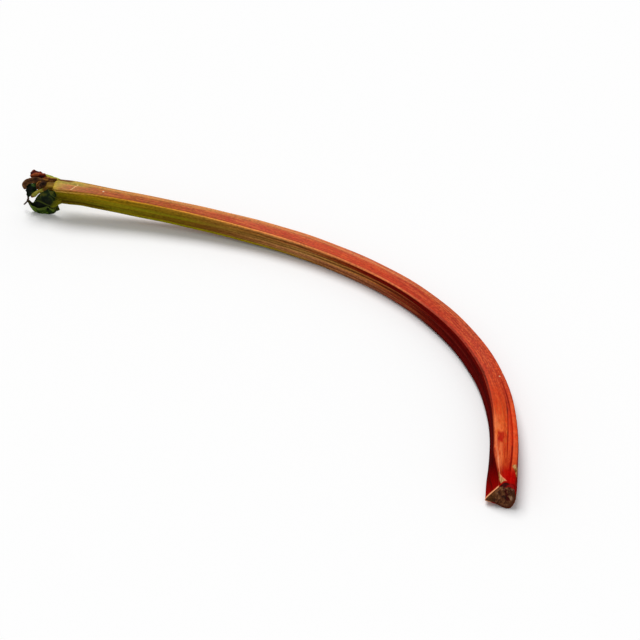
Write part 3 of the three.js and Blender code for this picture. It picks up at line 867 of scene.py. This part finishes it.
# The midrib runs on from the petiole's upper face.
midrib = vein(
    "midrib",
    [[-8, -0.6, 27.4], [-3, -0.6, 27.4], [1.5, -0.6, 27], [6, -0.7, 26.7], [11, -0.4, 26.3],
     [16, 0.2, 26.2]],
    [3.6, 4.8, 4.9, 4.7, 4.2, 3.2], ribs=(7, 0.05), knobs=(0.05, 0.3), squash=1.15)
far_vein = vein(
    "far_vein",
    [[-4, -4.4, 29.6], [0.5, -5.2, 30.6], [4.6, -6, 31.3], [9.3, -7.2, 31.8], [14, -8.4, 32.3],
     [17.3, -9.4, 32.5]],
    [1.4, 1.9, 2, 1.9, 1.6, 1.2], ribs=(5, 0.08), knobs=(0.06, 1.1))
near_vein = vein(
    "near_vein",
    [[7.4, 2.8, 26.2], [11, 3.8, 26.3], [13.6, 4.6, 26], [16.3, 5.2, 24.9], [19.8, 5.6, 22.5],
     [23.4, 5.4, 19.2], [26, 5, 16.6]],
    [1.6, 1.8, 1.8, 1.7, 1.8, 2.0, 1.2], ribs=(5, 0.1), knobs=(0.1, 2.0))
for piece, node, finish in (
        (midrib, "midrib_stub", yellow_vein),
        (far_vein, "far_vein_stub", lime_vein),
        (near_vein, "near_vein_stub", olive_vein)):
    piece.data.materials.append(finish)
    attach(piece, "root")
    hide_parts(node)


# ---- Withered blade ----
# Scraps of the leaf blade still hang on the veins. They have dried brown, rolled up and shrivelled, and
# the midrib's broken end has dried and curled round with them.
def blade(
        name, near, middle, far, thickness, ruffle, pleats, tears, phase, fan=(0, 0), steps=120, across=36):
    """A closed sheet through three lines along it, its near edge, middle and far edge: across, it is the
    parabola through the three. ruffle is a wave along it, its height and its number, greatest at the
    edges; pleats is a wave across it, greatest in the middle; fan is a number of veins that spread from
    its start, and the height of the puckers between them; tears draw the edges in by an uneven share;
    and the sheet thins to two fifths at its edges."""
    u = np.linspace(0, 1, steps)[:, None]
    angle = np.linspace(0, 2 * math.pi, 2 * across + 1)[None, :-1]
    share = (1 - np.cos(angle)) / 2
    tear = tears * (0.5 + 0.5 * ripple(13 * u + phase, 21 * u + 2 * phase)) * np.abs(2 * share - 1) ** 6
    w = (0.5 + (share - 0.5) * (1 - tear))[..., None]
    a, m, b = (glide(line, u[:, 0])[:, None] for line in (near, middle, far))
    sheet = a * (1 - w) * (1 - 2 * w) + m * 4 * w * (1 - w) + b * w * (2 * w - 1)
    slope = a * (4 * w - 3) + m * (4 - 8 * w) + b * (4 * w - 1)
    tangent = np.gradient(m[:, 0], axis=0)[:, None]
    normal = np.cross(slope, np.broadcast_to(tangent, slope.shape))
    normal /= np.linalg.norm(normal, axis=-1, keepdims=True)
    spread = fan[0] * (share - 0.5) / (u + 0.45)
    swell = ruffle[0] * (2 * share - 1) ** 2 * np.sin(2 * math.pi * ruffle[1] * u + 3 * share + phase)
    pleating = np.sin(2 * math.pi * pleats[1] * share + 4 * u + phase)
    swell = swell + pleats[0] * 4 * share * (1 - share) * pleating
    swell = swell + fan[1] * (np.abs(np.sin(math.pi * spread)) ** 0.6 - 0.6)
    crinkle = ripple(11 * u + 9 * share, 9 * share + phase) + ripple(23 * u - 13 * share, 17 * share)
    swell = swell + 0.1 * crinkle
    thinning = 1 - 0.6 * np.abs(2 * share - 1) ** 2
    half = thickness / 2 * np.sin(angle) * thinning * rounded_ends(u, 0.05, 0.03)
    rings = sheet + normal * (swell + half)[..., None]
    rings[..., 2] = np.clip(rings[..., 2], TABLE_GAP, TOP_LEVEL)
    # Each side's height out of the sheet, kept in the grain, by which the finishes paint shade in the
    # creases.
    crease_shade = swell * np.sign(np.sin(angle))
    grain = np.stack(np.broadcast_arrays(spread, u, crease_shade), -1)
    around = np.append(share[0], 0) * 0.5
    around[across:] = 1 - around[across:]
    return closed_skin(name, leaf_place(rings), leaf_place(rings[[0, -1]].mean(1)), u[:, 0], around, grain)


def withered_finish(name, hollow, body, light):
    """Dried blade: three browns, darker in its creases as painted shade, streaked along it, with specks of
    the darkest.
    """
    finish = Finish(bpy.data.materials.new(name))
    crease_shade = finish.part(finish.grain(), "Z")
    streaks = finish.noise(finish.skin_map(), (5, 24, 1), detail=3)
    folds = finish.noise(finish.place(), (240, 240, 240), detail=3, roughness=0.55, distortion=0.4)
    grit = finish.noise(finish.place(), (1100, 1100, 1100))
    # The crease height lowers the level in the valleys: painted shade.
    level = 0.45 * folds + 0.35 * streaks + 0.12 * crease_shade + 0.1
    colour = finish.ramp(level, (0.4, hollow), (0.5, body), (0.6, light))
    colour = finish.mix(0.35 * finish.rise(grit, 0.52, 0.68), colour, hollow)
    return finish.surface(colour, 0.6 + 0.25 * grit, streaks + 0.5 * folds, 0.0006, 0.1)


red_brown = withered_finish("red_brown_blade", "2e0604", "741e0c", "9a4a20")
tan_brown = withered_finish("tan_brown_blade", "2a0e04", "7c4a12", "c08a40")
dark_brown = withered_finish("dark_brown_blade", "160a04", "3c200e", "6e4c2c")
rolled = blade(
    "rolled_flap",
    [[16, -2.4, 31], [12.2, -1.8, 30.1], [7.7, -2, 30.5], [3.1, -3.2, 31.6]],
    [[16.5, -4.4, 32.8], [12.5, -3.8, 32.6], [8.3, -4.2, 32.4], [2.6, -4.6, 32.4]],
    [[16.8, -7, 33.1], [13, -6.8, 32.6], [8.6, -6.4, 32], [4, -5.8, 32]],
    thickness=1.9, ruffle=(0.3, 2.0), pleats=(0.5, 1.4), tears=0.12, phase=2.2)
tip = blade(
    "curled_tip",
    [[13.4, -3.6, 31.8], [18.6, -2.8, 30.1], [23.1, -3, 29.8], [27.2, -4.4, 31.3]],
    [[13.4, -6, 34.6], [19.1, -5.6, 34.8], [24, -6, 35], [28.6, -5.6, 33.8]],
    [[15, -8, 35.1], [19.8, -8.6, 36.2], [25.7, -10.2, 36.8], [28.5, -8, 35.6]],
    thickness=2.6, ruffle=(0.7, 2.3), pleats=(1.0, 1.7), tears=0.22, phase=0.7)
twig = vein(
    "dry_thread",
    [[29.2, 4.3, 15.6], [30.4, 4.2, 12.4], [31.6, 4.1, 9.8], [33.6, 3.6, 7.2], [36, 2.4, 5]],
    [0.9, 0.8, 0.7, 0.65, 0.6], ribs=(3, 0.2), knobs=(0.25, 1.4))
knob = vein(
    "midrib_knob",
    [[11.6, -0.6, 27.6], [13.4, 1.2, 30.4], [15.4, 2.4, 30.2], [16.2, 3, 27.7], [15.6, 3.4, 25.4]],
    [2.0, 2.3, 2.1, 2.1, 1.7], ribs=(4, 0.06), knobs=(0.1, 0.2))
curl = vein(
    "midrib_curl",
    [[15.7, 0.4, 31.2], [18, 1.6, 31], [19.5, 2.4, 28.6], [18.9, 3, 26.4], [16.6, 3.6, 25.2],
     [14.2, 3.4, 24.8]],
    [1.1, 1.4, 1.4, 1.6, 1.5, 1.2], ribs=(4, 0.1), knobs=(0.12, 1.2))
for piece, node, finish in (
        (rolled, "rolled_blade", tan_brown),
        (tip, "withered_tip", red_brown),
        (twig, "dry_twig", dark_brown),
        (knob, None, dark_brown),
        (curl, None, tan_brown)):
    piece.data.materials.append(finish)
    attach(piece, "root")
    if node:
        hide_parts(node)


# ---- Arched blade ----
# The largest scrap arches out over the midrib's end and hangs down like a hood. It is dried grey-brown
# outside, and still dark green on the inside of the arch.
arched = blade(
    "hood_blade",
    [[12.8, 0.4, 27], [19.6, 1.6, 29.4], [24.9, 3, 30], [28.4, 3.8, 27.8], [29.8, 4, 24.2]],
    [[13.4, -0.6, 31.6], [21, -0.6, 33.4], [29, 1.4, 32.2], [33.3, 2.6, 28.2], [32.2, 3.2, 23.4]],
    [[14.6, -3.4, 32], [23.4, -3.6, 32.6], [30, -2, 30.8], [32.4, 0.4, 27.8], [31, 2.2, 24]],
    thickness=1.5, ruffle=(0.4, 2.6), pleats=(0.5, 1.5), tears=0.12, phase=0.4)
inner_fold = blade(
    "hood_lining",
    [[17.8, 0.8, 30.6], [18, 1.6, 26.2], [20.4, 2.4, 22.6], [25, 3.2, 18.4], [28.4, 3.4, 15.2]],
    [[24.2, 1.8, 29.8], [25.2, 2.6, 25.6], [27.4, 3.2, 21.4], [29.2, 3.4, 17.3], [29.9, 3.6, 14.7]],
    [[30.8, 0.4, 26.6], [32.3, 1.2, 23.4], [32.1, 2, 19.9], [31.2, 2.8, 17.1], [30.6, 3, 14.6]],
    thickness=1.1, ruffle=(0.6, 3.5), pleats=(0.5, 2), tears=0.15, phase=1.7)


def leaf_finish(name, inside, outside, veined=0.0):
    """Fresh blade: four greens a side, darkest in its creases as painted shade, and painted almost black at
    the bottom of the fold as its shade. By the share veined, it also has pale veins that fan out over it, a
    pale lip with a painted highlight and a dried end."""
    green = Finish(bpy.data.materials.new(name))
    v = green.part(green.skin_map(), "Y")
    spread = green.part(green.grain(), "X")
    run = green.part(green.grain(), "Y")
    crease_shade = green.part(green.grain(), "Z")
    folds = green.noise(green.place(), (190, 190, 190), detail=3, roughness=0.55, distortion=0.5)
    # The crease height lowers the level in the valleys: painted shade.
    level = folds + 0.2 * crease_shade
    stops = (0.3, 0.45, 0.56, 0.68)
    # Painted shade, almost black, at the bottom of the fold.
    fold_bottom_shade = green.band(v, 0.18, 0.4, 0.07) * green.band(run, 0.25, 0.9, 0.12)
    from_vein = (spread - spread.math("ROUND")).math("ABSOLUTE")
    # The lip is paler, partly its own colour and partly a painted highlight.
    lip = green.rise(v + 0.05 * (folds - 0.5), 0.955, 0.975) * green.rise(run, 0.86, 0.74)
    colour = green.lay(
        green.ramp(level, *zip(stops, inside)),
        (green.rise(v, 0.49, 0.51), green.ramp(level, *zip(stops, outside))),
        (0.95 * fold_bottom_shade, "020702"),
        (0.8 * veined * green.rise(from_vein, 0.07, 0.02), "6c7a28"),
        (1.2 * veined * lip, "6c7c30"),
        (2 * veined * green.rise(run + 0.3 * (folds - 0.5), 0.8, 0.9), "30220e"))
    crinkle = green.noise(green.place(), (700, 700, 700))
    return green.surface(colour, 0.5 + 0.25 * folds, folds + 0.25 * crinkle, 0.0006, 0.06)


hood_skin = Finish(bpy.data.materials.new("hood_blade"))
v = hood_skin.part(hood_skin.skin_map(), "Y")
crease_shade = hood_skin.part(hood_skin.grain(), "Z")
folds = hood_skin.noise(hood_skin.place(), (200, 200, 200), detail=3, roughness=0.55, distortion=0.4)
streaks = hood_skin.noise(hood_skin.skin_map(), (6, 22, 1), detail=3)
# The crease height lowers the level in the valleys: painted shade.
level = 0.45 * folds + 0.4 * streaks + 0.1 * crease_shade + 0.08
dried_side = hood_skin.ramp(
    level, (0.36, "160602"), (0.45, "3e220e"), (0.53, "5c3a1e"), (0.6, "724c28"), (0.66, "8c6238"))
green_side = hood_skin.ramp(level, (0.36, "020a03"), (0.5, "0e2408"), (0.62, "24400e"))
colour = hood_skin.mix(hood_skin.band(v, 0.02, 0.49, 0.01), green_side, dried_side)
arched.data.materials.append(hood_skin.surface(colour, 0.6 + 0.2 * folds, folds + streaks, 0.0006, 0.08))
inner_fold.data.materials.append(leaf_finish(
    "hood_green", ("020804", "0a1c0c", "1c3a16", "446028"), ("010608", "0c1e10", "1c3816", "486430")))
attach(arched, "root")
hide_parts("arched_blade")
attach(inner_fold, "root")


# ---- Lower blade ----
# The scrap below the petiole's end is still fresh: dark green, folded into a pouch on which the stalk's
# leaf end rests. A wing of it runs down into the pouch from the petiole's lower corner.
lower = blade(
    "folded_blade",
    [[-1, 5.4, 6.3], [5, 6.4, 6.8], [12.1, 7.2, 9.2], [19.1, 7.6, 7.2], [24.4, 7, 8], [28.2, 5.6, 10.1],
     [30.3, 4.4, 13.7]],
    [[3, 6, 9], [6.2, 5.8, 3.8], [13, 5.8, 0.7], [20, 5.6, 0.6], [25.2, 4.8, 1.6], [28.4, 4.2, 5.4],
     [30.2, 4.2, 11.3]],
    [[-2.4, 6, 28.2], [3, 8, 29.4], [9, 6.8, 28.4], [15, 5, 25.4], [20.4, 4, 18.6], [26, 3.8, 9.6],
     [30, 4.2, 13.6]],
    thickness=1.2, ruffle=(0.45, 3.5), pleats=(0.3, 2.5), tears=0.06, phase=0.9, fan=(3, 0.45),
    steps=170, across=56)
lower.data.materials.append(leaf_finish(
    "green_blade", ("010602", "0c1c04", "28360a", "4e4e16"), ("081402", "1a2e06", "30460a", "527018"), 0.4))
wing = blade(
    "petiole_wing",
    [[-8.4, 5, 16.4], [-2.2, 7.4, 13.6], [4.2, 7.2, 9.5], [12, 4.9, 5.6]],
    [[-8.6, 5.2, 18.3], [-2.7, 7.8, 16.8], [3, 8, 13.4], [10.5, 5.4, 7.8]],
    [[-8.8, 5, 20.4], [-3, 7, 20.2], [2.7, 7.4, 17.3], [9.9, 5, 10.6]],
    thickness=1.2, ruffle=(0.15, 2), pleats=(0.15, 3), tears=0.05, phase=0.2)
wing_skin = Finish(bpy.data.materials.new("wing_skin"))
u = wing_skin.part(wing_skin.skin_map(), "X")
v = wing_skin.part(wing_skin.skin_map(), "Y")
strands = wing_skin.noise(wing_skin.skin_map(), (2, 30, 1))
colour = wing_skin.lay(
    wing_skin.ramp(u, (0, "786e0a"), (0.4, "726a0a"), (0.7, "585a0a"), (1.0, "24340a")),
    (0.7 * wing_skin.rise(v, 0.24, 0.06), "8a8e0c"),
    (0.5 * wing_skin.rise(strands, 0.5, 0.62), "40380a"))
wing.data.materials.append(wing_skin.surface(colour, 0.6, strands, 0.0003, 0.03))
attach(wing, "root")
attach(lower, "root")
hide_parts("lower_blade")
